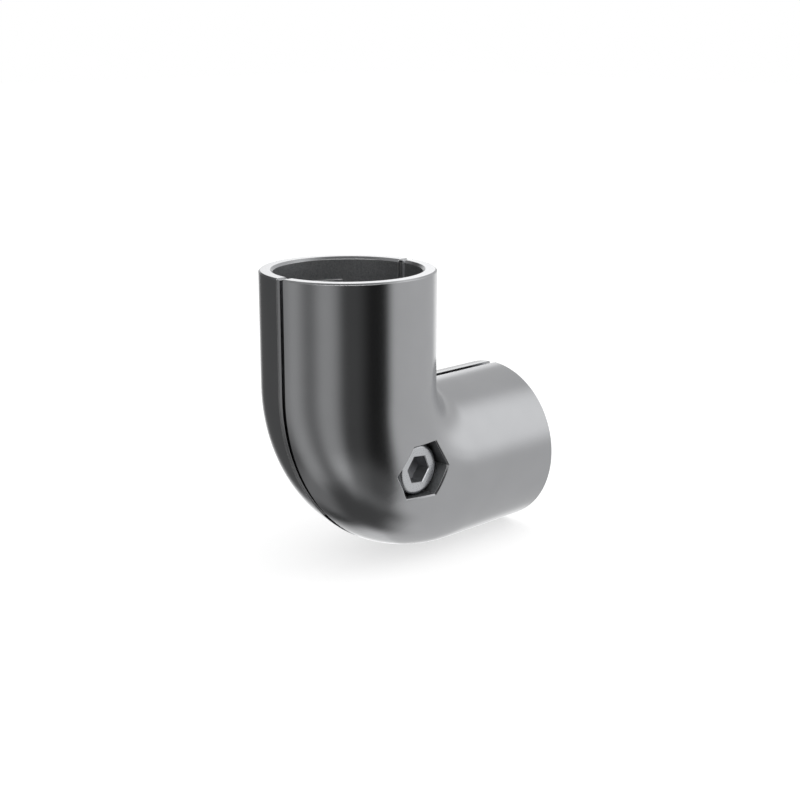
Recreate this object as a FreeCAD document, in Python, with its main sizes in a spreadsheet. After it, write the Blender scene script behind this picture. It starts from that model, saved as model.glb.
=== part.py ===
import FreeCAD, Part
import math
import os
import Sketcher
from FreeCAD import Placement, Rotation, Vector

# Lean tube joint: a right-angle elbow that clamps the ends of two tubes.
# It is one casting used twice. The two half shells meet on the plane of both
# tube axes, and one cap screw with a captive nut draws them together.
#
# Every body is drawn in the elbow's own coordinates: the two socket axes
# cross at the origin, the upper socket runs up +Z, the side socket runs out
# +X, and the parting plane is XZ. The placements then lower all of it, so
# that the part's origin is the stop that the upper tube's end rests on.

# Driving sizes, in millimetres and degrees: alias, value, meaning
SIZES = [
    ("tube_radius", 14.0, "radius of the tube that each socket clamps"),
    ("wall", 3.0, "casting wall outside the tube"),
    ("arm_length", 42.0, "from the crossing of the axes to each mouth"),
    ("bend_radius", 19.5, "centreline radius of the bend, where the tubes stop"),
    ("parting_gap", 1.8, "gap between the half shells on a tube of nominal size"),
    ("stop_step", 1.0, "height of the shoulder that stops the tube"),
    ("relief", 0.3, "radial room in the socket outside the grip pads"),
    ("pad_setback", 4.6, "from the mouth to the start of the grip pad"),
    ("pad_half_angle", 38.0, "half of the arc that the grip pad covers"),
    ("lip_outer_inset", 0.15, "from the outer surface to the lip on the parting face"),
    ("lip_inner_inset", 0.6, "from the relieved bore to the same lip"),
    ("lip_height", 0.7, "how far the lip stands into the gap"),
    ("lip_draft", 4.0, "draft of the sides of the lip"),
    ("lip_setback", 0.2, "from the mouth to the end of the lip"),
    ("lip_end_gap", 0.25, "room at the bend's diagonal, where the lips change sides"),
    ("mouth_chamfer", 0.5, "lead-in chamfer inside each mouth"),
    ("mouth_edge", 0.3, "broken outer edge of each mouth"),
    ("boss_radius", 8.0, "boss inside the bend that the screw passes through"),
    ("screw_offset", 4.3, "X and Z of the screw axis from the crossing"),
    ("pocket_floor", 8.8, "from the parting plane to the floor of the hex pocket"),
    ("pocket_play", 0.3, "room on each side between the nut and its pocket"),
    ("pocket_chamfer", 0.3, "broken edge round the hex pocket"),
    ("screw_radius", 3.0, "nominal radius of the screw thread"),
    ("screw_length", 25.0, "from under the head to the tip"),
    ("head_radius", 5.0, "radius of the screw head"),
    ("head_height", 6.0, "height of the screw head"),
    ("head_chamfer", 0.6, "broken edge of the screw head"),
    ("tip_chamfer", 0.8, "chamfer at the screw tip"),
    ("key_flats", 5.0, "hexagon key socket across its flats"),
    ("key_depth", 3.0, "depth of the key socket"),
    ("key_turn", -6.8, "how far the screw head is turned, at rest"),
    ("nut_flats", 10.0, "nut across its flats"),
    ("nut_thickness", 5.0, "thickness of the nut"),
    ("nut_chamfer_angle", 30.0, "slope of the cones that break the nut's corners"),
    ("hole_play", 0.3, "radial room of the screw in the cast hole"),
    ("thread_play", 0.03, "radial room on each side of the thread's nominal size"),
    ("seat_play", 0.02, "running room under the screw head"),
    ("overrun", 1.0, "how far a cutting shape stands out of what it cuts"),
]

# Sizes that follow from those above
DERIVED = [
    ("outer_radius", "=tube_radius + wall"),
    ("bend_bore_radius", "=tube_radius - stop_step"),
    ("relief_radius", "=tube_radius + relief"),
    ("half_gap", "=parting_gap / 2"),
    ("lip_outer", "=outer_radius - lip_outer_inset"),
    ("lip_inner", "=relief_radius + lip_inner_inset"),
    ("lip_end", "=arm_length - lip_setback"),
    ("pad_end", "=arm_length - pad_setback"),
    ("hole_radius", "=screw_radius + hole_play"),
    ("shank_radius", "=screw_radius - thread_play"),
    ("nut_bore_radius", "=screw_radius + thread_play"),
    ("pocket_flats", "=nut_flats + 2 * pocket_play"),
    ("under_head", "=pocket_floor + seat_play"),
    ("head_top", "=under_head + head_height"),
    ("tip", "=screw_length - under_head"),
    ("nut_corner", "=nut_flats / sqrt(3)"),
    ("nut_outer_face", "=pocket_floor + nut_thickness"),
]

doc = FreeCAD.newDocument("lean_tube_joint")
sheet = doc.addObject("Spreadsheet::Sheet", "Sizes")
for row, (alias, value, meaning) in enumerate(SIZES, start=1):
    sheet.set(f"A{row}", meaning)
    sheet.set(f"B{row}", str(value))
    sheet.setAlias(f"B{row}", alias)
for row, (alias, formula) in enumerate(DERIVED, start=len(SIZES) + 1):
    sheet.set(f"A{row}", alias.replace("_", " "))
    sheet.set(f"B{row}", formula)
    sheet.setAlias(f"B{row}", alias)
doc.recompute()


def size(alias):
    """The value of one size in the sheet."""
    return float(sheet.get(alias))


def point(x, y):
    """A point of a sketch."""
    return Vector(x, y, 0)


# Sketch helpers

ORIGIN = (-1, 1)       # the sketch's origin as a constraint point
START, END, CENTRE = 1, 2, 3


def add_sketch(body, name, role, offset=None):
    """A sketch on one of the body's origin planes, moved along its normal."""
    sketch = body.newObject("Sketcher::SketchObject", name)
    plane = next(item for item in body.Origin.OriginFeatures if item.Role == role)
    sketch.AttachmentSupport = [(plane, "")]
    sketch.MapMode = "FlatFace"
    if offset:
        sketch.setExpression("AttachmentOffset.Base.z", offset)
    return sketch


def constrain(sketch, kind, *where):
    """A geometric constraint."""
    return sketch.addConstraint(Sketcher.Constraint(kind, *where))


def dimension(sketch, expression, kind, *where):
    """A dimension whose value follows an expression of the sheet."""
    index = sketch.addConstraint(Sketcher.Constraint(kind, *where))
    sketch.setExpression(f"Constraints[{index}]", expression)


def add_circle(sketch, radius, centre=(0.0, 0.0)):
    """A circle whose radius is the named size; returns its index."""
    circle = Part.Circle(point(*centre), Vector(0, 0, 1), size(radius))
    index = sketch.addGeometry(circle)
    dimension(sketch, f"Sizes.{radius}", "Radius", index, size(radius))
    return index


def add_polygon(sketch, corners):
    """A closed outline of straight lines; returns the indices of its lines."""
    lines = []
    for first, second in zip(corners, corners[1:] + corners[:1]):
        lines.append(sketch.addGeometry(Part.LineSegment(point(*first), point(*second))))
    for line, following in zip(lines, lines[1:] + lines[:1]):
        constrain(sketch, "Coincident", line, END, following, START)
    return lines


def place_on_screw_axis(sketch, geometry, spot):
    """Puts a point of the geometry on the screw axis, in an XZ sketch."""
    offset = size("screw_offset")
    dimension(sketch, "Sizes.screw_offset", "DistanceX", *ORIGIN, geometry, spot, offset)
    dimension(sketch, "Sizes.screw_offset", "DistanceY", *ORIGIN, geometry, spot, offset)


def add_hexagon(sketch, flats, centre, turn, turn_expression):
    """A regular hexagon across the named flats; returns its guide circle."""
    corner_radius = size(flats) / math.sqrt(3)
    corners = []
    for step in range(6):
        angle = math.radians(turn + 60 * step)
        corners.append((centre[0] + corner_radius * math.cos(angle),
                        centre[1] + corner_radius * math.sin(angle)))
    lines = add_polygon(sketch, corners)
    guide = sketch.addGeometry(Part.Circle(point(*centre), Vector(0, 0, 1), corner_radius), True)
    spoke = sketch.addGeometry(Part.LineSegment(point(*centre), point(*corners[0])), True)
    for line in lines:
        constrain(sketch, "PointOnObject", line, START, guide)
    for line in lines[1:]:
        constrain(sketch, "Equal", lines[0], line)
    constrain(sketch, "Coincident", spoke, START, guide, CENTRE)
    constrain(sketch, "Coincident", spoke, END, lines[0], START)
    dimension(sketch, f"Sizes.{flats} / sqrt(3)", "Radius", guide, corner_radius)
    if turn:
        dimension(sketch, turn_expression, "Angle", -1, START, spoke, START, math.radians(turn))
    else:
        constrain(sketch, "Horizontal", spoke)
    return guide


# Feature helpers

def pad(body, name, sketch, length, backwards=False):
    """A pad along the sketch's normal, or against it."""
    feature = body.newObject("PartDesign::Pad", name)
    feature.Profile = sketch
    feature.setExpression("Length", length)
    feature.Reversed = backwards
    return feature


def pocket(body, name, sketch, length=None):
    """A pocket against the sketch's normal, or through everything both ways."""
    feature = body.newObject("PartDesign::Pocket", name)
    feature.Profile = sketch
    if length:
        feature.setExpression("Length", length)
    else:
        feature.Type = "ThroughAll"
        feature.Midplane = True
    return feature


def sweep(body, name, profile, spine):
    """A profile swept along a spine."""
    feature = body.newObject("PartDesign::AdditivePipe", name)
    feature.Profile = profile
    feature.Spine = spine
    return feature


def break_edges(body, name, base, wanted, expression):
    """A chamfer on every edge of the base that is wanted."""
    doc.recompute()
    picked = []
    for number, edge in enumerate(base.Shape.Edges, start=1):
        if wanted(edge):
            picked.append(f"Edge{number}")
    feature = body.newObject("PartDesign::Chamfer", name)
    feature.Base = (base, picked)
    feature.setExpression("Size", expression)
    return feature


# Outlines that the casting and its core share

def centreline_sketch(body, name):
    """The elbow's centreline: down the upper arm, round the bend, out along the side arm."""
    sketch = add_sketch(body, name, "XZ_Plane")
    arm = size("arm_length")
    bend = size("bend_radius")
    circle = Part.Circle(point(bend, bend), Vector(0, 0, 1), bend)
    upper = sketch.addGeometry(Part.LineSegment(point(0, arm), point(0, bend)))
    curve = sketch.addGeometry(Part.ArcOfCircle(circle, math.pi, 1.5 * math.pi))
    side = sketch.addGeometry(Part.LineSegment(point(bend, 0), point(arm, 0)))
    constrain(sketch, "Tangent", upper, END, curve, START)
    constrain(sketch, "Tangent", curve, END, side, START)
    constrain(sketch, "PointOnObject", upper, START, -2)
    constrain(sketch, "Vertical", upper)
    constrain(sketch, "PointOnObject", side, END, -1)
    constrain(sketch, "Horizontal", side)
    dimension(sketch, "Sizes.bend_radius", "Radius", curve, bend)
    dimension(sketch, "Sizes.arm_length", "DistanceY", *ORIGIN, upper, START, arm)
    dimension(sketch, "Sizes.arm_length", "DistanceX", *ORIGIN, side, END, arm)
    return sketch


def half_disc_sketch(body, name):
    """The elbow's section at the upper mouth, cut off at the parting face."""
    sketch = add_sketch(body, name, "XY_Plane", "Sizes.arm_length")
    radius = size("outer_radius")
    depth = size("half_gap")
    angle = math.asin(depth / radius)
    reach = radius * math.cos(angle)
    circle = Part.Circle(point(0, 0), Vector(0, 0, 1), radius)
    arc = sketch.addGeometry(Part.ArcOfCircle(circle, math.pi + angle, 2 * math.pi - angle))
    chord = sketch.addGeometry(Part.LineSegment(point(reach, -depth), point(-reach, -depth)))
    constrain(sketch, "Coincident", arc, CENTRE, *ORIGIN)
    constrain(sketch, "Coincident", arc, END, chord, START)
    constrain(sketch, "Coincident", chord, END, arc, START)
    constrain(sketch, "Horizontal", chord)
    dimension(sketch, "Sizes.outer_radius", "Radius", arc, radius)
    dimension(sketch, "Sizes.half_gap", "DistanceY", chord, START, *ORIGIN, depth)
    return sketch


def pad_sector_sketch(body, name, role, middle):
    """The arc of the core that is cut away, so that the casting keeps its grip pad.

    middle is the direction of the pad's centre in the sketch, in degrees.
    """
    sketch = add_sketch(body, name, role, "Sizes.bend_radius")
    low = math.radians(middle - size("pad_half_angle"))
    high = math.radians(middle + size("pad_half_angle"))
    inner = size("tube_radius")
    outer = size("relief_radius") + size("overrun")
    arcs = []
    for radius in (inner, outer):
        circle = Part.Circle(point(0, 0), Vector(0, 0, 1), radius)
        arcs.append(sketch.addGeometry(Part.ArcOfCircle(circle, low, high)))
    sides = []
    for angle in (low, high):
        near = point(inner * math.cos(angle), inner * math.sin(angle))
        far = point(outer * math.cos(angle), outer * math.sin(angle))
        sides.append(sketch.addGeometry(Part.LineSegment(near, far)))
    for arc in arcs:
        constrain(sketch, "Coincident", arc, CENTRE, *ORIGIN)
    for side, end in zip(sides, (START, END)):
        constrain(sketch, "Coincident", arcs[0], end, side, START)
        constrain(sketch, "Coincident", arcs[1], end, side, END)
        constrain(sketch, "PointOnObject", -1, 1, side)
    dimension(sketch, "Sizes.tube_radius", "Radius", arcs[0], inner)
    dimension(sketch, "Sizes.relief_radius + Sizes.overrun", "Radius", arcs[1], outer)
    half = "Sizes.pad_half_angle * 1 deg"
    dimension(sketch, f"{middle % 360} deg - {half}", "Angle", sides[0], low % (2 * math.pi))
    dimension(sketch, f"{middle % 360} deg + {half}", "Angle", sides[1], high % (2 * math.pi))
    return sketch


def lip_sketch(body, name):
    """The two lips of one casting: both edges of its side arm, up to the bend's diagonal.

    The other casting's lips run along the upper arm, because it is this one turned over.
    """
    sketch = add_sketch(body, name, "XZ_Plane", "Sizes.half_gap")
    bend = size("bend_radius")
    end = size("lip_end")
    gap = size("lip_end_gap")
    for side in (-1, 1):
        near = f"Sizes.bend_radius {'+' if side < 0 else '-'} Sizes.lip_inner"
        far = f"Sizes.bend_radius {'+' if side < 0 else '-'} Sizes.lip_outer"
        radii = [bend - side * size("lip_inner"), bend - side * size("lip_outer")]
        arcs = []
        lines = []
        for radius, expression in zip(radii, (near, far)):
            circle = Part.Circle(point(bend, bend), Vector(0, 0, 1), radius)
            first = 1.25 * math.pi + math.asin(gap / radius)
            arc = sketch.addGeometry(Part.ArcOfCircle(circle, first, 1.5 * math.pi))
            line = sketch.addGeometry(
                Part.LineSegment(point(bend, bend - radius), point(end, bend - radius)))
            constrain(sketch, "Tangent", arc, END, line, START)
            constrain(sketch, "Horizontal", line)
            dimension(sketch, expression, "Radius", arc, radius)
            arcs.append(arc)
            lines.append(line)
        mouth = sketch.addGeometry(Part.LineSegment(
            point(end, bend - radii[0]), point(end, bend - radii[1])))
        starts = [sketch.getPoint(arc, START) for arc in arcs]
        diagonal = sketch.addGeometry(Part.LineSegment(starts[0], starts[1]))
        constrain(sketch, "Coincident", lines[0], END, mouth, START)
        constrain(sketch, "Coincident", lines[1], END, mouth, END)
        constrain(sketch, "Coincident", arcs[0], START, diagonal, START)
        constrain(sketch, "Coincident", arcs[1], START, diagonal, END)
        constrain(sketch, "Coincident", arcs[0], CENTRE, arcs[1], CENTRE)
        constrain(sketch, "Vertical", mouth)
        dimension(sketch, "Sizes.lip_end", "DistanceX", *ORIGIN, lines[0], END, end)
        dimension(sketch, "Sizes.bend_radius", "DistanceX", *ORIGIN, arcs[0], CENTRE, bend)
        dimension(sketch, "Sizes.bend_radius", "DistanceY", *ORIGIN, arcs[0], CENTRE, bend)
        direction = math.atan2(starts[1].y - starts[0].y, starts[1].x - starts[0].x)
        degrees = 45 if side > 0 else 225
        dimension(sketch, f"{degrees} deg", "Angle", diagonal, direction)
        dimension(sketch, "Sizes.lip_end_gap", "Distance", arcs[0], CENTRE, diagonal, gap)
    return sketch


# Sub-parts

def make_core(name):
    """The shape of the hollow: both sockets, the way between them, less pad and boss."""
    body = doc.addObject("PartDesign::Body", name)
    way = add_sketch(body, f"{name}_way_section", "XY_Plane", "Sizes.arm_length")
    circle = add_circle(way, "bend_bore_radius")
    constrain(way, "Coincident", circle, CENTRE, *ORIGIN)
    sweep(body, f"{name}_way", way, centreline_sketch(body, f"{name}_centreline"))
    # The pad's middle points to -Y: down in an XY sketch, to the left in a YZ one
    for arm, role, middle in (("upper", "XY_Plane", -90.0), ("side", "YZ_Plane", 180.0)):
        socket = add_sketch(body, f"{name}_{arm}_section", role, "Sizes.bend_radius")
        circle = add_circle(socket, "relief_radius")
        constrain(socket, "Coincident", circle, CENTRE, *ORIGIN)
        pad(body, f"{name}_{arm}_socket", socket,
            "Sizes.arm_length - Sizes.bend_radius + Sizes.overrun")
        sector = pad_sector_sketch(body, f"{name}_{arm}_pad_section", role, middle)
        grip = pocket(body, f"{name}_{arm}_pad", sector, "Sizes.pad_end - Sizes.bend_radius")
        grip.Reversed = True
    boss = add_sketch(body, f"{name}_boss_section", "XZ_Plane")
    offset = size("screw_offset")
    circle = add_circle(boss, "boss_radius", (offset, offset))
    place_on_screw_axis(boss, circle, CENTRE)
    pocket(body, f"{name}_boss", boss)
    return body


def on_mouth(edge, radius):
    """Whether an edge is the circle of this radius round either mouth."""
    if not isinstance(edge.Curve, Part.Circle) or abs(edge.Curve.Radius - radius) > 0.01:
        return False
    centre = edge.Curve.Center
    arm = size("arm_length")
    return min(centre.distanceToPoint(Vector(0, 0, arm)),
               centre.distanceToPoint(Vector(arm, 0, 0))) < 0.01


def on_pocket_rim(edge):
    """Whether an edge is where a flat of the hex pocket meets the outer surface."""
    middle = edge.valueAt((edge.FirstParameter + edge.LastParameter) / 2)
    ends = [vertex.Point for vertex in edge.Vertexes]
    if len(ends) < 2 or max(spot.y for spot in ends) > -size("pocket_floor") - 0.01:
        return False
    offset = size("screw_offset")
    away = math.hypot(middle.x - offset, middle.z - offset)
    return away < size("pocket_flats") / math.sqrt(3) - 0.01


def make_casting(name):
    """One half shell, the one on the -Y side."""
    body = doc.addObject("PartDesign::Body", name)
    sweep(body, f"{name}_elbow", half_disc_sketch(body, f"{name}_section"),
          centreline_sketch(body, f"{name}_centreline"))

    hollow = body.newObject("PartDesign::Boolean", f"{name}_hollow")
    hollow.Type = "Cut"
    hollow.setObjects([make_core(f"{name}_core")])

    lips = pad(body, f"{name}_lips", lip_sketch(body, f"{name}_lip_outline"),
               "Sizes.lip_height", backwards=True)
    lips.setExpression("TaperAngle", "-Sizes.lip_draft * 1 deg")

    offset = size("screw_offset")
    drill = add_sketch(body, f"{name}_hole_outline", "XZ_Plane")
    place_on_screw_axis(drill, add_circle(drill, "hole_radius", (offset, offset)), CENTRE)
    pocket(body, f"{name}_hole", drill)

    above = "Sizes.outer_radius + Sizes.overrun"
    recess = add_sketch(body, f"{name}_pocket_outline", "XZ_Plane", above)
    guide = add_hexagon(recess, "pocket_flats", (offset, offset), 0.0, "")
    place_on_screw_axis(recess, guide, CENTRE)
    seat = pocket(body, f"{name}_pocket", recess, f"{above} - Sizes.pocket_floor")

    rim = break_edges(body, f"{name}_pocket_edge", seat, on_pocket_rim,
                      "Sizes.pocket_chamfer")
    lead = break_edges(body, f"{name}_lead_in", rim,
                       lambda edge: on_mouth(edge, size("relief_radius")),
                       "Sizes.mouth_chamfer")
    break_edges(body, f"{name}_mouth_edge", lead,
                lambda edge: on_mouth(edge, size("outer_radius")),
                "Sizes.mouth_edge")
    return body


def make_screw(name):
    """The cap screw, turned round the Y axis, with its head on the -Y side."""
    body = doc.addObject("PartDesign::Body", name)
    sketch = add_sketch(body, f"{name}_outline", "XY_Plane")
    top = -size("head_top")
    under = -size("under_head")
    tip = size("tip")
    head = size("head_radius")
    shank = size("shank_radius")
    edge = size("head_chamfer")
    point_edge = size("tip_chamfer")
    outline = [(0, top), (head - edge, top), (head, top + edge), (head, under),
               (shank, under), (shank, tip - point_edge), (shank - point_edge, tip), (0, tip)]
    lines = add_polygon(sketch, outline)
    face, bevel, side, seat, stem, cone, end, axis = lines
    for line in (face, seat, end):
        constrain(sketch, "Horizontal", line)
    for line in (side, stem, axis):
        constrain(sketch, "Vertical", line)
    constrain(sketch, "PointOnObject", face, START, -2)
    dimension(sketch, "Sizes.head_top", "DistanceY", face, START, *ORIGIN, -top)
    dimension(sketch, "Sizes.under_head", "DistanceY", side, END, *ORIGIN, -under)
    dimension(sketch, "Sizes.tip", "DistanceY", *ORIGIN, end, START, tip)
    dimension(sketch, "Sizes.head_radius", "DistanceX", *ORIGIN, side, END, head)
    dimension(sketch, "Sizes.shank_radius", "DistanceX", *ORIGIN, stem, START, shank)
    for line in (bevel, cone):
        alias = "head_chamfer" if line == bevel else "tip_chamfer"
        first, second = (START, END) if line == bevel else (END, START)
        dimension(sketch, f"Sizes.{alias}", "DistanceX", line, first, line, second, size(alias))
        dimension(sketch, f"Sizes.{alias}", "DistanceY", line, START, line, END, size(alias))
    turned = body.newObject("PartDesign::Revolution", f"{name}_turned")
    turned.Profile = sketch
    turned.ReferenceAxis = (sketch, ["V_Axis"])
    turned.Angle = 360

    key = add_sketch(body, f"{name}_key_outline", "XZ_Plane", "Sizes.head_top")
    guide = add_hexagon(key, "key_flats", (0.0, 0.0), size("key_turn"), "Sizes.key_turn * 1 deg")
    constrain(key, "Coincident", guide, CENTRE, *ORIGIN)
    pocket(body, f"{name}_key_socket", key, "Sizes.key_depth")
    return body


def make_nut(name):
    """The captive nut on the pocket floor, drawn on the -Y side like the pocket."""
    body = doc.addObject("PartDesign::Body", name)
    outline = add_sketch(body, f"{name}_outline", "XZ_Plane", "Sizes.pocket_floor")
    guide = add_hexagon(outline, "nut_flats", (0.0, 0.0), 0.0, "")
    constrain(outline, "Coincident", guide, CENTRE, *ORIGIN)
    pad(body, f"{name}_hexagon", outline, "Sizes.nut_thickness")

    bore = add_sketch(body, f"{name}_bore_outline", "XZ_Plane")
    constrain(bore, "Coincident", add_circle(bore, "nut_bore_radius"), CENTRE, *ORIGIN)
    pocket(body, f"{name}_bore", bore)

    # A cone at each face takes off the six corners outside the circle of the flats
    slope = math.tan(math.radians(size("nut_chamfer_angle")))
    flat = size("nut_flats") / 2
    reach = size("nut_corner") + size("overrun")
    depth = (reach - flat) * slope
    for face, alias, inward in (("inner", "pocket_floor", -1), ("outer", "nut_outer_face", 1)):
        level = -size(alias)
        sketch = add_sketch(body, f"{name}_{face}_cone_outline", "XY_Plane")
        corners = [(flat, level), (reach, level), (reach, level + inward * depth)]
        across, down, cone = add_polygon(sketch, corners)
        constrain(sketch, "Horizontal", across)
        constrain(sketch, "Vertical", down)
        dimension(sketch, f"Sizes.{alias}", "DistanceY", across, START, *ORIGIN, -level)
        dimension(sketch, "Sizes.nut_flats / 2", "DistanceX", *ORIGIN, across, START, flat)
        dimension(sketch, "Sizes.nut_corner + Sizes.overrun", "DistanceX",
                  *ORIGIN, across, END, reach)
        ends = (START, END) if inward > 0 else (END, START)
        dimension(sketch, "(Sizes.nut_corner + Sizes.overrun - Sizes.nut_flats / 2)"
                  " * tan(Sizes.nut_chamfer_angle * 1 deg)",
                  "DistanceY", down, ends[0], down, ends[1], depth)
        groove = body.newObject("PartDesign::Groove", f"{name}_{face}_cone")
        groove.Profile = sketch
        groove.ReferenceAxis = (sketch, ["V_Axis"])
        groove.Angle = 360
    return body


# Placement in the part's frame

def lower(body, turned_over=False, on_screw_axis=False):
    """Moves a body from the elbow's coordinates to the part's frame."""
    turn = Rotation(Vector(1, 0, 1), 180) if turned_over else Rotation()
    body.Placement = Placement(Vector(0, 0, 0), turn)
    across = "Sizes.screw_offset" if on_screw_axis else "0"
    body.setExpression("Placement.Base.x", across)
    body.setExpression("Placement.Base.z", f"{across} - Sizes.bend_radius")


front_shell = make_casting("front_shell")
rear_shell = make_casting("rear_shell")
clamp_screw = make_screw("clamp_screw")
hex_nut = make_nut("hex_nut")
lower(front_shell)
lower(rear_shell, turned_over=True)
lower(clamp_screw, on_screw_axis=True)
lower(hex_nut, turned_over=True, on_screw_axis=True)
doc.recompute()

# Nothing is written unless every feature worked and every solid is sound
for item in doc.Objects:
    if "Invalid" in item.State or "Error" in item.State:
        raise RuntimeError(f"{item.Name} failed: {item.State}")
    if item.isDerivedFrom("Sketcher::SketchObject") and not item.FullyConstrained:
        raise RuntimeError(f"{item.Name} isn't fully constrained")

os.makedirs("parts", exist_ok=True)
for body in (front_shell, rear_shell, clamp_screw, hex_nut):
    shape = body.Shape
    if shape.isNull() or not shape.isValid() or len(shape.Solids) != 1:
        raise RuntimeError(f"{body.Label} isn't one sound solid")
    shape.exportStep(f"parts/{body.Label}.step")
    print(body.Label, round(shape.Volume, 3), shape.BoundBox)
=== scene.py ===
import math

import bmesh
import bpy
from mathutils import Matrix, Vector


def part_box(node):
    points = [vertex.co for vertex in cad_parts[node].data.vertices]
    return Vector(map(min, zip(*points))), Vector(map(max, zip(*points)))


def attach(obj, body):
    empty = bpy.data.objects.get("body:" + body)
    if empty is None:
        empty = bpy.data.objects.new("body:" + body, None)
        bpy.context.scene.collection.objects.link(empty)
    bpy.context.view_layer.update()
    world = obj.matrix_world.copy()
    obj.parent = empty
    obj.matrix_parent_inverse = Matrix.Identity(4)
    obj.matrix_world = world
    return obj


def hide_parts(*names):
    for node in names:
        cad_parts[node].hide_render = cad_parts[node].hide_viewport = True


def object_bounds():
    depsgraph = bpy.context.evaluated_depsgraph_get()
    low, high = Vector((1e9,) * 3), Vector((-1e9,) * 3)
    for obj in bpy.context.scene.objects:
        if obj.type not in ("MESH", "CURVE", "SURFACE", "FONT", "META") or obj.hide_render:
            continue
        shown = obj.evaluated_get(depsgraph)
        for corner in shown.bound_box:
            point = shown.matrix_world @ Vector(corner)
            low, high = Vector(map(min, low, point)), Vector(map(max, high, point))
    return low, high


# Lean tube joint: the looks of a split, die-cast right-angle elbow that clamps
# two tube ends. The two castings and the nut are the frame's own solids with
# their finish. The cap screw is modelled here, because its thread is cut.
# Lengths are metres, in the frame that the solids are in.

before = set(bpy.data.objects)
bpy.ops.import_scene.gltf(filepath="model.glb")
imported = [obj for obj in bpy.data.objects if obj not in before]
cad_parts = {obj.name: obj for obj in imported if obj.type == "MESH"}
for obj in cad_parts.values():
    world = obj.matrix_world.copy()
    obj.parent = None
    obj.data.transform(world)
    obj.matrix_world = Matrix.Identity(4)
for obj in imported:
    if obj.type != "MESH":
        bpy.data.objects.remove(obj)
cad_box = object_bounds()

MM = 0.001
SAME_PLACE = 1e-7              # vertices nearer than this are one

# The camera, as the photograph was taken
CAMERA_AZIMUTH = -44.67        # degrees; 0 looks along +Y
CAMERA_ELEVATION = 14.64       # degrees above the horizon
CAMERA_DISTANCE = 294.77 * MM
CAMERA_TARGET = Vector((13.97, 0.0, -5.97)) * MM
CAMERA_LENS = 65.75            # millimetres, as the width of the sensor
SENSOR_WIDTH = 36.0

# The elbow, where its finish changes and painted shade begins
BEND_RADIUS = 19.5 * MM        # of its centreline
SKIN_RADIUS = 16.75 * MM       # just under the outer skin, from the centreline
LIP_LIMIT = 15.4 * MM          # how far out the lips' inner sides lie
LEAD_IN = 0.5 * MM             # chamfer at the mouth of each bore, trimmed like the skin
SLIT = 1.0 * MM                # just over half of the gap between the half shells
UPPER_RIM = 22.5 * MM          # Z of the upper mouth
SIDE_RIM = 42.0 * MM           # X of the side mouth
# The blend runs from the skin into the rough cast metal that is painted darker as shade.
SHADE_AND_FINISH_BLEND = 0.1 * MM        # width over which one finish turns into the other

# The cap screw, an M6 with a socket head
HEAD_HEIGHT = 6.0 * MM
HEAD_ROUND = 0.85 * MM         # round on the edge of the head's face
HEAD_FOOT = 0.2 * MM           # small bevel where the head sits
KEY_FLATS = 5.0 * MM
KEY_DEPTH = 3.0 * MM
KEY_POINT = 1.2 * MM           # the drill point below the key socket
FACE_RING = 3.4 * MM           # radius at which the turned face meets the key socket's face
KEY_BEVEL = 0.15 * MM          # bevel round the key socket's mouth
KEY_TURN = -6.8                # degrees, as the solid's key socket is turned
PITCH = 1.0 * MM               # of the thread
CREST_RADIUS = 2.97 * MM
ROOT_RADIUS = 2.39 * MM
CREST_FLAT = 0.15              # shares of the pitch
ROOT_FLAT = 0.25
PLAIN_NECK = 1.2 * MM          # unthreaded length under the head
NECK_GAP = 0.2 * MM            # band that joins the neck to the first thread
RUN_OUT = 1.5 * MM             # length over which the first thread gains its depth
TIP_CHAMFER = 0.8 * MM
HEAD_STEPS = 72
THREAD_STEPS = 48
ROUND_STEPS = 6


# Colours and shader nodes

def linear(hex_colour):
    """An sRGB hex colour as linear RGBA."""
    channels = []
    for start in (1, 3, 5):
        value = int(hex_colour[start:start + 2], 16) / 255
        if value <= 0.04045:
            channels.append(value / 12.92)
        else:
            channels.append(((value + 0.055) / 1.055) ** 2.4)
    return (*channels, 1.0)


def add_node(tree, kind, settings=None, inputs=None):
    """Adds a node. Inputs are values, or the output sockets of other nodes to link."""
    made = tree.nodes.new(kind)
    for name, value in (settings or {}).items():
        setattr(made, name, value)
    for name, value in (inputs or {}).items():
        if isinstance(value, bpy.types.NodeSocket):
            tree.links.new(value, made.inputs[name])
        else:
            made.inputs[name].default_value = value
    return made


def new_material(name):
    """An empty material; returns it and its node tree."""
    material = bpy.data.materials.new(name)
    material.use_nodes = True
    material.node_tree.nodes.clear()
    return material, material.node_tree


def mix_values(tree, share, first, second):
    """Goes from the first value to the second as share goes from 0 to 1."""
    return add_node(tree, "ShaderNodeMapRange", inputs={
        "Value": share, "To Min": first, "To Max": second}).outputs["Result"]


def mix_colours(tree, share, first, second):
    """Goes from the first colour to the second as share goes from 0 to 1."""
    blend = add_node(tree, "ShaderNodeMix", {"data_type": "RGBA"}, {0: share})
    for slot, colour in ((6, first), (7, second)):
        if isinstance(colour, str):
            blend.inputs[slot].default_value = linear(colour)
        else:
            tree.links.new(colour, blend.inputs[slot])
    return blend.outputs[2]


def soft_step(tree, value, limit):
    """1 below the limit and 0 above it, with a short blend."""
    return add_node(tree, "ShaderNodeMapRange", inputs={
        "Value": value, "From Min": limit - SHADE_AND_FINISH_BLEND, "From Max": limit,
        "To Min": 1.0, "To Max": 0.0}).outputs["Result"]


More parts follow.
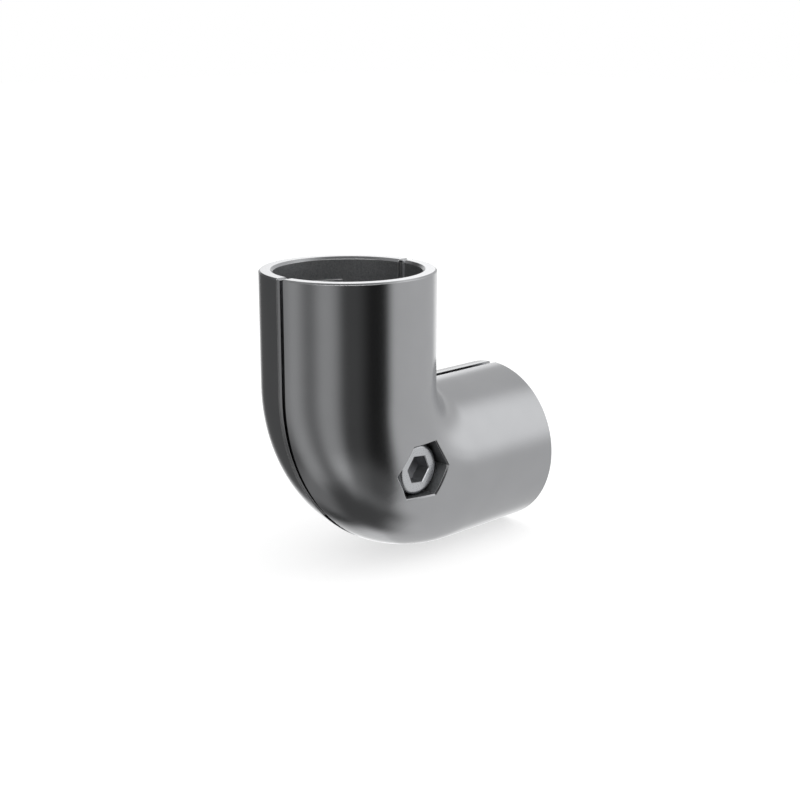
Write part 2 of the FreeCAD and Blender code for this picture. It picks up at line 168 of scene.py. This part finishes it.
def from_centreline(tree, spot):
    """The distance from the elbow's centreline: two straights joined by the bend."""
    past_corner = add_node(tree, "ShaderNodeMath", {"operation": "SUBTRACT"}, {
        0: spot["X"], 1: BEND_RADIUS})
    along = add_node(tree, "ShaderNodeMath", {"operation": "MINIMUM"}, {
        0: past_corner.outputs[0], 1: 0.0})
    down = add_node(tree, "ShaderNodeMath", {"operation": "MINIMUM"}, {0: spot["Z"], 1: 0.0})
    in_plane = add_node(tree, "ShaderNodeCombineXYZ", inputs={
        0: along.outputs[0], 1: down.outputs[0]})
    from_corner = add_node(tree, "ShaderNodeVectorMath", {"operation": "LENGTH"}, {
        0: in_plane.outputs[0]})
    off_line = add_node(tree, "ShaderNodeMath", {"operation": "SUBTRACT"}, {
        0: from_corner.outputs["Value"], 1: BEND_RADIUS})
    across = add_node(tree, "ShaderNodeCombineXYZ", inputs={
        0: off_line.outputs[0], 1: spot["Y"]})
    return add_node(tree, "ShaderNodeVectorMath", {"operation": "LENGTH"}, {
        0: across.outputs[0]}).outputs["Value"]


def under_skin(tree, place):
    """1 in the elbow's bore and in the pockets of the screw and the nut, else 0."""
    spot = add_node(tree, "ShaderNodeSeparateXYZ", inputs={0: place}).outputs
    from_line = from_centreline(tree, spot)
    from_slit = add_node(tree, "ShaderNodeMath", {"operation": "ABSOLUTE"}, {0: spot["Y"]})
    into_slit = add_node(tree, "ShaderNodeMath", {"operation": "MULTIPLY"}, {
        0: from_slit.outputs[0], 1: -1.0})
    bore = soft_step(tree, from_line, LIP_LIMIT)
    pocket = add_node(tree, "ShaderNodeMath", {"operation": "MULTIPLY"}, {
        0: soft_step(tree, from_line, SKIN_RADIUS),
        1: soft_step(tree, into_slit.outputs[0], -SLIT)})
    inside = add_node(tree, "ShaderNodeMath", {"operation": "MAXIMUM"}, {
        0: bore, 1: pocket.outputs[0]}).outputs[0]
    for value, rim in ((spot["Z"], UPPER_RIM), (spot["X"], SIDE_RIM)):
        inside = add_node(tree, "ShaderNodeMath", {"operation": "MULTIPLY"}, {
            0: inside, 1: soft_step(tree, value, rim - LEAD_IN)}).outputs[0]
    return inside


def metal(name, tones, cloud, roughness, spread, grain, relief, edge, edge_highlight, cast_finish_and_shade=None):
    """A satin metal: a cloudy tone, a fine grain in its gloss and relief, and eased edges.

    cloud, grain and edge are real sizes; relief is the grain's height, and spread
    is how far the roughness goes up and down with it. The next argument is the colour
    of the highlight painted along the edges. The last gives the two darker colours painted
    as shade under the elbow's outer skin, and the roughness and relief of the metal as cast
    there.
    """
    material, tree = new_material(name)
    place = add_node(tree, "ShaderNodeTexCoord").outputs["Object"]
    clouds = add_node(tree, "ShaderNodeTexNoise", inputs={
        "Vector": place, "Scale": 1 / cloud, "Detail": 3.0, "Roughness": 0.5})
    tone = mix_colours(tree, clouds.outputs["Fac"], *tones)
    grains = add_node(tree, "ShaderNodeTexNoise", inputs={
        "Vector": place, "Scale": 1 / grain, "Detail": 2.0, "Roughness": 0.6})
    gloss = add_node(tree, "ShaderNodeMapRange", inputs={
        "Value": grains.outputs["Fac"], "From Min": 0.3, "From Max": 0.7,
        "To Min": roughness - spread, "To Max": roughness + spread}).outputs["Result"]
    # In the bore and the pockets the colour is painted darker as shade, and the metal is
    # rough as cast.
    if cast_finish_and_shade:
        shaded_cast_dark, shaded_cast_light, raw_roughness, raw_relief = cast_finish_and_shade
        inside = under_skin(tree, place)
        shaded_speckle = mix_colours(tree, grains.outputs["Fac"], shaded_cast_dark, shaded_cast_light)
        tone = mix_colours(tree, inside, tone, shaded_speckle)
        gloss = mix_values(tree, inside, gloss, raw_roughness)
        relief = mix_values(tree, inside, relief, raw_relief)
    eased = add_node(tree, "ShaderNodeBevel", {"samples": 8}, {"Radius": edge})
    flat = add_node(tree, "ShaderNodeNewGeometry").outputs["Normal"]
    turned = add_node(tree, "ShaderNodeVectorMath", {"operation": "DOT_PRODUCT"}, {
        0: eased.outputs["Normal"], 1: flat})
    # Painted highlight: along the edges, where the eased normal leaves the flat one, the
    # colour turns to the paler highlight colour.
    edge_highlight_share = add_node(tree, "ShaderNodeMapRange", inputs={
        "Value": turned.outputs["Value"], "From Min": 0.99, "From Max": 0.85})
    tone = mix_colours(tree, edge_highlight_share.outputs["Result"], tone, edge_highlight)
    bump = add_node(tree, "ShaderNodeBump", inputs={
        "Strength": 1.0, "Distance": relief,
        "Height": grains.outputs["Fac"], "Normal": eased.outputs["Normal"]})
    shader = add_node(tree, "ShaderNodeBsdfPrincipled", inputs={
        "Base Color": tone, "Metallic": 1.0, "Roughness": gloss,
        "Normal": bump.outputs["Normal"]})
    add_node(tree, "ShaderNodeOutputMaterial", inputs={"Surface": shader.outputs["BSDF"]})
    return material


# Die-cast aluminium, trimmed and finely blasted: a smooth satin grey that
# draws the studio out into long soft bands, with a highlight painted along its edges.
# Under the outer skin it is rough as cast, and painted darker there as shade. The real
# grit leaves marks of about 0.1 mm, too fine to show, so the grain is 0.3 mm.
die_cast = metal("blasted_die_cast_aluminium", ("#BBBCBE", "#C3C4C6"), cloud=7 * MM,
                 roughness=0.19, spread=0.02, grain=0.3 * MM, relief=0.0006 * MM,
                 edge=0.12 * MM, edge_highlight="#E6E6E6", cast_finish_and_shade=("#6A6B6D", "#B4B5B7", 0.6, 0.008 * MM))

# Zinc-plated steel, bright and a little bluish: paler and cooler than the castings,
# with the slightly mottled skin that the plating bath leaves, and a painted highlight along
# its edges.
zinc = metal("bright_zinc_plated_steel", ("#D4D6D9", "#E2E4E7"), cloud=1.5 * MM,
             roughness=0.3, spread=0.05, grain=0.25 * MM, relief=0.002 * MM,
             edge=0.06 * MM, edge_highlight="#EEEFF0")

# The same plating in the key socket, rougher, and painted darker as shade deep in the socket.
shaded_socket_zinc = metal("key_socket_zinc_with_painted_shade", ("#A6A7AA", "#C0C1C3"), cloud=1.0 * MM,
                  roughness=0.5, spread=0.05, grain=0.2 * MM, relief=0.004 * MM,
                  edge=0.06 * MM, edge_highlight="#C8C9CB")


# Modelling helpers

def add_piece(name, bm, material, sharp_angle=30.0):
    """Makes an object of the mesh, smooth but for its sharp edges."""
    mesh = bpy.data.meshes.new(name)
    bm.to_mesh(mesh)
    bm.free()
    mesh.shade_smooth()
    mesh.set_sharp_from_angle(angle=math.radians(sharp_angle))
    mesh.materials.append(material)
    piece = bpy.data.objects.new(name, mesh)
    bpy.context.scene.collection.objects.link(piece)
    return piece


def add_profile(bm, points):
    """A line of edges through (radius, y) points; returns its vertices and edges."""
    verts = [bm.verts.new((radius, y, 0.0)) for radius, y in points]
    edges = [bm.edges.new(pair) for pair in zip(verts, verts[1:])]
    return verts + edges


def open_edges(bm, y):
    """The edges of the open loop that lies at this y."""
    return [edge for edge in bm.edges
            if edge.is_boundary and all(abs(v.co.y - y) < SAME_PLACE for v in edge.verts)]


def set_radius(vert, radius):
    """Moves a vertex to this distance from the screw's axis."""
    factor = radius / math.hypot(vert.co.x, vert.co.z)
    vert.co.x *= factor
    vert.co.z *= factor


def settle_order(bm):
    """Sorts edges and faces by their vertices, as a spin makes them in any order."""
    bm.verts.index_update()
    count = len(bm.verts)

    def rank(element):
        first, second, third = (sorted(vert.index for vert in element.verts) + [0])[:3]
        return (first * count + second) * count + third

    bm.edges.sort(key=rank)
    bm.faces.sort(key=rank)


# The cap screw, modelled round the Y axis and then moved to its own axis

def add_head(bm, top, under):
    """The head and the plain neck, turned; the face is open round the key socket."""
    head_radius = (head_high.x - head_low.x) / 2
    points = [(FACE_RING, top)]
    for step in range(ROUND_STEPS + 1):
        angle = math.pi / 2 * step / ROUND_STEPS
        points.append((head_radius - HEAD_ROUND * (1 - math.sin(angle)),
                       top + HEAD_ROUND * (1 - math.cos(angle))))
    points += [(head_radius, under - HEAD_FOOT), (head_radius - HEAD_FOOT, under),
               (CREST_RADIUS, under), (CREST_RADIUS, under + PLAIN_NECK)]
    bmesh.ops.spin(bm, geom=add_profile(bm, points), cent=(0, 0, 0), axis=(0, 1, 0),
                   dvec=(0, 0, 0), angle=2 * math.pi, steps=HEAD_STEPS, use_merge=True)


def add_key_socket(bm, top):
    """The hexagon socket with its bevelled mouth and drill point.

    Its walls and its point take the piece's second material.
    """
    corner = KEY_FLATS / math.sqrt(3)
    outline = bmesh.ops.create_circle(bm, cap_ends=False, segments=6, radius=corner)["verts"]
    wide = corner + KEY_BEVEL
    for number, vert in enumerate(outline):
        angle = math.radians(KEY_TURN + 60 * number)
        vert.co = (wide * math.cos(angle), top, wide * math.sin(angle))
    ring = list(dict.fromkeys(edge for vert in outline for edge in vert.link_edges))
    for radius, depth in ((corner, KEY_BEVEL), (corner, KEY_DEPTH),
                          (0, KEY_DEPTH + KEY_POINT)):
        made = bmesh.ops.extrude_edge_only(bm, edges=ring)["geom"]
        ring = [item for item in made if isinstance(item, bmesh.types.BMEdge)
                and item.is_boundary]
        for vert in dict.fromkeys(vert for edge in ring for vert in edge.verts):
            vert.co.y = top + depth
            set_radius(vert, radius)
        for face in (item for item in made if isinstance(item, bmesh.types.BMFace)):
            face.material_index = 0 if depth == KEY_BEVEL else 1
    bmesh.ops.remove_doubles(bm, verts=bm.verts, dist=SAME_PLACE)
    for face in bmesh.ops.bridge_loops(bm, edges=open_edges(bm, top))["faces"]:
        face.material_index = 0


def add_thread(bm, start, tip):
    """The cut thread, one zigzag along the shank spun once and moved on by one pitch."""
    flank = (1 - CREST_FLAT - ROOT_FLAT) / 2
    points = []
    first = start - 2 * PITCH
    for turn in range(math.ceil((tip - first) / PITCH) + 1):
        y = first + turn * PITCH
        points += [(ROOT_RADIUS, y), (ROOT_RADIUS, y + ROOT_FLAT * PITCH),
                   (CREST_RADIUS, y + (ROOT_FLAT + flank) * PITCH),
                   (CREST_RADIUS, y + (1 - flank) * PITCH)]
    before = set(bm.verts)
    bmesh.ops.spin(bm, geom=add_profile(bm, points), cent=(0, 0, 0), axis=(0, 1, 0),
                   dvec=(0, PITCH / THREAD_STEPS, 0), angle=2 * math.pi, steps=THREAD_STEPS)
    thread = [vert for vert in bm.verts if vert not in before]
    bmesh.ops.remove_doubles(bm, verts=thread, dist=SAME_PLACE)
    for plane, outer, inner in ((tip, True, False), (start, False, True)):
        thread = [vert for vert in bm.verts if vert not in before]
        faces = dict.fromkeys(face for vert in thread for face in vert.link_faces)
        edges = dict.fromkeys(edge for vert in thread for edge in vert.link_edges)
        bmesh.ops.bisect_plane(bm, geom=[*thread, *edges, *faces],
                               dist=SAME_PLACE, plane_co=(0, plane, 0), plane_no=(0, 1, 0),
                               clear_outer=outer, clear_inner=inner)
    for vert in bm.verts:
        if vert in before:
            continue
        radius = math.hypot(vert.co.x, vert.co.z)
        depth = min(1.0, (vert.co.y - start) / RUN_OUT) * (CREST_RADIUS - ROOT_RADIUS)
        cone = CREST_RADIUS - max(0.0, vert.co.y - (tip - TIP_CHAMFER))
        set_radius(vert, min(max(radius, CREST_RADIUS - depth), cone))


def make_cap_screw():
    """The whole screw, in place of the plain solid."""
    bm = bmesh.new()
    top = head_low.y
    under = top + HEAD_HEIGHT
    tip = head_high.y
    add_head(bm, top, under)
    add_key_socket(bm, top)
    neck_end = under + PLAIN_NECK
    neck = open_edges(bm, neck_end)
    start = neck_end + NECK_GAP
    add_thread(bm, start, tip)
    bmesh.ops.bridge_loops(bm, edges=neck + open_edges(bm, start))
    bmesh.ops.holes_fill(bm, edges=open_edges(bm, tip), sides=0)
    bmesh.ops.recalc_face_normals(bm, faces=bm.faces)
    centre = (head_low + head_high) / 2
    bmesh.ops.translate(bm, vec=(centre.x, 0, centre.z), verts=bm.verts)
    settle_order(bm)
    screw = add_piece("socket_cap_screw", bm, zinc)
    screw.data.materials.append(shaded_socket_zinc)
    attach(screw, "screw")
    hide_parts("clamp_screw")


head_low, head_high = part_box("clamp_screw")
make_cap_screw()

for node, material, slot in (("front_shell", die_cast, "die_cast"),
                             ("rear_shell", die_cast, "die_cast"),
                             ("hex_nut", zinc, "zinc_steel")):
    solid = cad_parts[node]
    solid.data.materials.clear()
    solid.data.materials.append(material)


# The studio

STUDIO_CENTRE = (cad_box[0] + cad_box[1]) / 2
TENT_RADIUS = 2.0
FLOOR_LIFT = 0.6               # brings the lit floor up to the backdrop's white
SKY_LIGHT = 0.6                # how bright the surrounding is as a light
# The cards inside the tent, in degrees: from and to this far to the right of the
# camera, and the softness of these edges; from and to this far above the horizon,
# and the softness of those. Then the brightness. Where cards overlap they add up.
CARDS = [
    # Wall on the right and behind, with its bright lower part
    (56, 220, 8, -69, 66, 9, 0.62),
    (-220, -158, 12, -68, 66, 8, 0.8),
    (150, 220, 10, -36, -6, 7, 0.5),
    (-220, -164, 10, -36, -6, 7, 0.65),
    # Softbox high on the right
    (80, 122, 14, 2, 52, 10, 0.45),
    # Dark wall on the left
    (-163, -93, 9, -48, 42, 8, 0.105),
    # Grey walls in front, darkest beside the camera
    (-92, -7, 8, -64, 30, 8, 0.195),
    (-86, -60, 11, -58, 20, 8, 0.22),
    (-39, -14, 9, -58, 20, 8, 0.21),
    (-8, 20, 12, -46, 30, 8, 0.075),
    (12, 56, 10, -46, 30, 8, 0.018),
    # Grey cards low down
    (-138, -88, 13, -67, -46, 7, 0.22),
    (-30, 14, 12, -72, -46, 7, 0.19),
    (14, 54, 8, -76, -44, 7, 0.1),
    # Dark floor, paler on the right
    (-220, 220, 12, -100, -66, 7, 0.08),
    (95, 155, 25, -80, -66, 5, 0.3),
    # Window behind, that the rim mirrors
    (172, 220, 5, 5, 26, 6, 0.8),
    (-220, -172, 5, 5, 26, 6, 0.6),
    # Dim ceiling, with a softbox over the camera
    (-163, 58, 9, 38, 66, 8, 0.35),
    (-50, 50, 15, 34, 66, 8, 1.8),
    (-220, 220, 10, 66, 100, 8, 0.18),
]


def toward(angle, elevation):
    """The direction this far to the right of the camera and above the horizon, in degrees."""
    turn = math.radians(CAMERA_AZIMUTH + angle)
    rise = math.radians(elevation)
    return Vector((math.sin(turn) * math.cos(rise), -math.cos(turn) * math.cos(rise),
                   math.sin(rise)))


def place_camera():
    camera = bpy.data.objects.new("camera", bpy.data.cameras.new("camera"))
    camera.data.lens = CAMERA_LENS
    camera.data.sensor_width = SENSOR_WIDTH
    camera.data.clip_start = 0.01
    camera.data.clip_end = 20.0
    back = toward(0, CAMERA_ELEVATION)
    camera.location = CAMERA_TARGET + back * CAMERA_DISTANCE
    camera.rotation_euler = back.to_track_quat("Z", "Y").to_euler()
    bpy.context.scene.collection.objects.link(camera)
    bpy.context.scene.camera = camera


def add_stage(name, bm, material):
    """A piece of the studio, which isn't part of the object."""
    piece = add_piece(name, bm, material)
    return piece


def seen_directly(tree):
    """1 for what the camera sees itself, or in a mirroring or clear surface."""
    rays = add_node(tree, "ShaderNodeLightPath").outputs
    seen = add_node(tree, "ShaderNodeMath", {"operation": "ADD"}, {
        0: rays["Is Camera Ray"], 1: rays["Is Glossy Ray"]})
    seen = add_node(tree, "ShaderNodeMath", {"operation": "ADD"}, {
        0: seen.outputs[0], 1: rays["Is Transmission Ray"]})
    return seen.outputs[0]


def lay_floor():
    """A white floor that keeps the object's shadow, and is as white as the backdrop."""
    material, tree = new_material("white_floor")
    paint = add_node(tree, "ShaderNodeBsdfDiffuse", inputs={"Color": linear("#EDEDED")})
    lift = add_node(tree, "ShaderNodeMath", {"operation": "MULTIPLY"}, {
        0: seen_directly(tree), 1: FLOOR_LIFT})
    glow = add_node(tree, "ShaderNodeEmission", inputs={"Strength": lift.outputs[0]})
    both = add_node(tree, "ShaderNodeAddShader", inputs={
        0: paint.outputs[0], 1: glow.outputs[0]})
    add_node(tree, "ShaderNodeOutputMaterial", inputs={"Surface": both.outputs[0]})
    bm = bmesh.new()
    bmesh.ops.create_grid(bm, x_segments=1, y_segments=1, size=TENT_RADIUS)
    bmesh.ops.translate(bm, vec=(0, 0, cad_box[0].z), verts=bm.verts)
    floor = add_stage("floor", bm, material)
    floor.visible_glossy = False


def soft_span(tree, angle, start, end, softness):
    """1 between two angles and 0 outside them, with soft edges."""
    rise = add_node(tree, "ShaderNodeMapRange", {"interpolation_type": "SMOOTHSTEP"}, {
        "Value": angle, "From Min": start - softness, "From Max": start + softness})
    fall = add_node(tree, "ShaderNodeMapRange", {"interpolation_type": "SMOOTHSTEP"}, {
        "Value": angle, "From Min": end - softness, "From Max": end + softness,
        "To Min": 1.0, "To Max": 0.0})
    both = add_node(tree, "ShaderNodeMath", {"operation": "MULTIPLY"}, {
        0: rise.outputs["Result"], 1: fall.outputs["Result"]})
    return both.outputs[0]


def pitch_tent():
    """The round light tent with its grey cards, seen only in the metal."""
    material, tree = new_material("tent_cards")
    place = add_node(tree, "ShaderNodeTexCoord").outputs["Object"]
    way = add_node(tree, "ShaderNodeVectorMath", {"operation": "NORMALIZE"}, {0: place})
    height = add_node(tree, "ShaderNodeSeparateXYZ", inputs={0: way.outputs[0]}).outputs["Z"]
    rise = add_node(tree, "ShaderNodeMath", {"operation": "ARCSINE"}, {0: height})
    rise = add_node(tree, "ShaderNodeMath", {"operation": "DEGREES"}, {0: rise.outputs[0]})
    turn = add_node(tree, "ShaderNodeTexGradient", {"gradient_type": "RADIAL"},
                    {"Vector": place})
    turn = add_node(tree, "ShaderNodeMapRange", inputs={
        "Value": turn.outputs["Fac"], "To Min": -180.0, "To Max": 180.0})
    total = 0.0
    for start, end, side_softness, low, high, level_softness, bright in CARDS:
        across = soft_span(tree, turn.outputs["Result"], start, end, side_softness)
        upward = soft_span(tree, rise.outputs[0], low, high, level_softness)
        card = add_node(tree, "ShaderNodeMath", {"operation": "MULTIPLY"}, {
            0: across, 1: upward})
        total = add_node(tree, "ShaderNodeMath", {"operation": "MULTIPLY_ADD"}, {
            0: card.outputs[0], 1: bright, 2: total}).outputs[0]
    glow = add_node(tree, "ShaderNodeEmission", inputs={"Strength": total})
    add_node(tree, "ShaderNodeOutputMaterial", inputs={"Surface": glow.outputs[0]})
    bm = bmesh.new()
    bmesh.ops.create_uvsphere(bm, u_segments=96, v_segments=48, radius=TENT_RADIUS)
    tent = add_stage("light_tent", bm, material)
    tent.location = STUDIO_CENTRE
    tent.rotation_euler.z = math.radians(CAMERA_AZIMUTH - 90)
    tent.visible_camera = False
    tent.visible_diffuse = False
    tent.visible_shadow = False
    tent.visible_transmission = False


def hang_softbox(name, angle, elevation, distance, width, height, brightness):
    """A soft light aimed at the object; brightness is how bright its face looks."""
    lamp = bpy.data.lights.new(name, "AREA")
    lamp.shape = "RECTANGLE"
    lamp.size = width
    lamp.size_y = height
    lamp.energy = brightness * math.pi * width * height
    softbox = bpy.data.objects.new(name, lamp)
    direction = toward(angle, elevation)
    softbox.location = STUDIO_CENTRE + direction * distance
    softbox.rotation_euler = direction.to_track_quat("Z", "Y").to_euler()
    softbox.visible_glossy = False
    bpy.context.scene.collection.objects.link(softbox)


def light_world():
    """An even surrounding, white where it is seen and softer as a light."""
    world = bpy.data.worlds.new("white_surrounding")
    world.use_nodes = True
    tree = world.node_tree
    tree.nodes.clear()
    strength = mix_values(tree, seen_directly(tree), SKY_LIGHT, 1.0)
    glow = add_node(tree, "ShaderNodeBackground", inputs={
        "Color": linear("#FFFFFF"), "Strength": strength})
    add_node(tree, "ShaderNodeOutputWorld", inputs={"Surface": glow.outputs[0]})
    bpy.context.scene.world = world


place_camera()
lay_floor()
pitch_tent()
hang_softbox("key_softbox", angle=100, elevation=36, distance=0.52, width=0.34, height=0.3,
             brightness=1.1)
light_world()
bpy.context.scene.view_settings.view_transform = "Standard"
